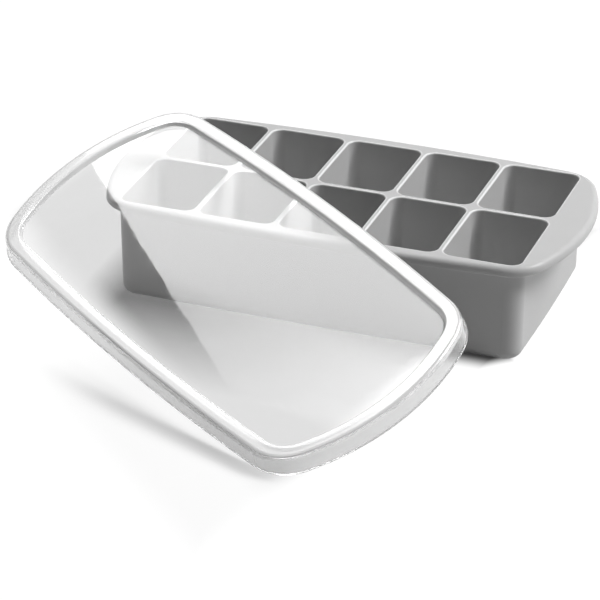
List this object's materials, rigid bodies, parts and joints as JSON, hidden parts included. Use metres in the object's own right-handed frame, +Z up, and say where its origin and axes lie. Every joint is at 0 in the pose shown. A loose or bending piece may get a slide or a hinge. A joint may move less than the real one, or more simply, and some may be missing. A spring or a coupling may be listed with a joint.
{
  "type": "baby food freezer tray",
  "caption": "Silicone freezer tray for portions of baby food: deep rectangular cups, a wide grip at each end, and a clear lid that leans on its front rim.",
  "frame": {"origin": "middle of the tray's flat base, on the surface it stands on", "axes": "+X along the row of five cups, +Y to the back, away from the leaning lid, +Z up"},
  "size_m": [0.2501, 0.2329, 0.0719],
  "materials": {
    "silicone": "matte silicone",
    "clear_plastic": "clear, polished"
  },
  "bodies": {
    "tray": {"tray": "silicone"},
    "lid": {"lid": "clear_plastic"}
  },
  "joints": [
    {"name": "lid_lift", "type": "slide", "parent": "tray", "child": "lid", "axis": [0, 0, 1], "range_m": [0, 0.12]}
  ]
}
